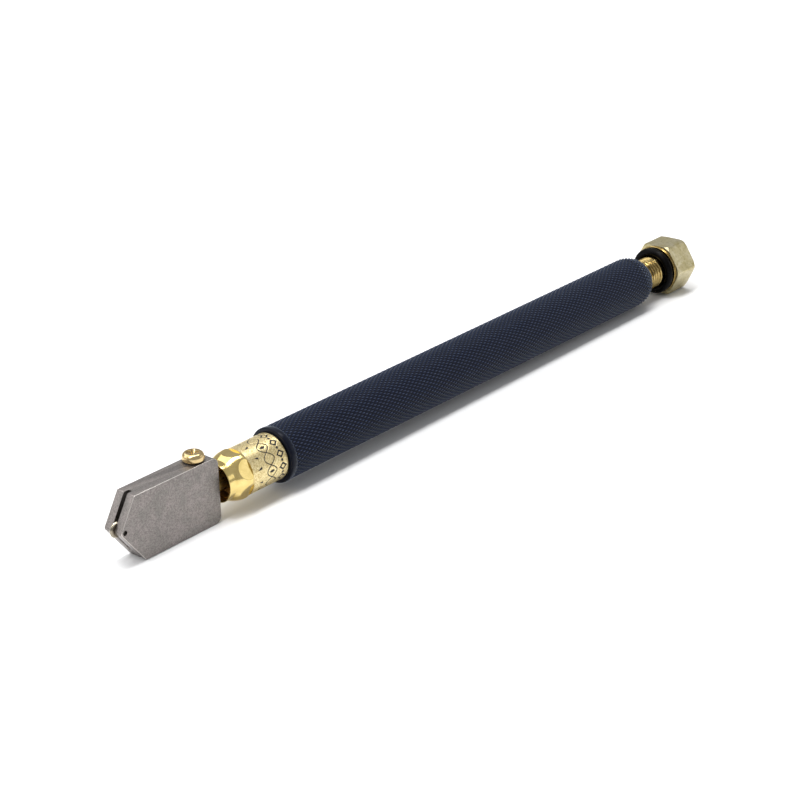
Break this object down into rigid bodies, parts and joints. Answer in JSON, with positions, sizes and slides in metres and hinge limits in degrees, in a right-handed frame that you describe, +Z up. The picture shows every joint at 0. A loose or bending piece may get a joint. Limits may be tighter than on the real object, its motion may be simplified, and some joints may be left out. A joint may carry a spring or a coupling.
{
  "type": "glass cutter",
  "caption": "Pencil-grip glass cutter: steel wheel head on a sprung brass valve stem, knurled oil-filled handle tube and a hexagonal screw cap.",
  "frame": {"origin": "centre of the tool's box, at the level of the head's underside", "axes": "+X along the tool's axis from the cutting wheel to the filler cap, +Z up, with the head plate upright in the XZ plane"},
  "size_m": [0.1842, 0.0136, 0.0163],
  "materials": {
    "head_steel": "satin grey steel, faint mottling and fine grinding marks",
    "wheel_carbide": "polished carbide",
    "axle_steel": "dark ground steel",
    "screw_brass": "bright brass",
    "stem_brass": "turned brass, oily",
    "ferrule_brass": "polished nose, satin body with black-filled engraved lines",
    "cap_brass": "pale brushed brass",
    "spring_steel": "bright spring wire",
    "seal_rubber": "black nitrile, oily sheen",
    "wick_felt": "twisted cotton",
    "handle_paint": "dark navy paint over a diamond knurl"
  },
  "bodies": {
    "handle": {"handle_tube": "handle_paint", "ferrule": "ferrule_brass", "ferrule_gasket": "seal_rubber", "valve_spring": "spring_steel", "spring_retainer": "stem_brass"},
    "stem": {"stem": "stem_brass", "stem_o_ring": "seal_rubber", "valve_seal": "seal_rubber", "oil_wick": "wick_felt"},
    "head": {"cutting_head": "head_steel", "wheel_axle": "axle_steel"},
    "wheel": {"cutting_wheel": "wheel_carbide"},
    "screw": {"clamp_screw": "screw_brass"},
    "cap_ring": {"cap_o_ring": "seal_rubber"},
    "cap": {"filler_cap": "cap_brass"}
  },
  "joints": [
    {"name": "valve_press", "type": "slide", "parent": "handle", "child": "stem", "axis": [1, 0, 0], "range_m": [0, 0.0009], "stiffness_N_per_m": 1500, "springref_m": -0.003, "deforming": ["valve_spring"]},
    {"name": "head_swivel", "type": "hinge", "parent": "stem", "child": "head", "pos_m": [-0.07, 0, 0.0074], "axis": [1, 0, 0], "range_deg": [-8, 8]},
    {"name": "wheel_spin", "type": "hinge", "parent": "head", "child": "wheel", "pos_m": [-0.09042, 0, 0.00765], "axis": [0, 1, 0], "continuous": true},
    {"name": "clamp_screw_turn", "type": "hinge", "parent": "head", "child": "screw", "pos_m": [-0.06965, 0, 0.0144], "axis": [0, 0, 1], "range_deg": [0, 180]},
    {"name": "cap_travel", "type": "slide", "parent": "handle", "child": "cap_ring", "axis": [1, 0, 0], "range_m": [-0.0054, 0.0064]},
    {"name": "cap_turn", "type": "hinge", "parent": "cap_ring", "child": "cap", "pos_m": [0.085, 0, 0.0074], "axis": [1, 0, 0], "range_deg": [-1908, 2268]}
  ],
  "couplings": [
    {"joint": "cap_travel", "follows": "cap_turn", "m_per_rad": 0.00015915}
  ]
}
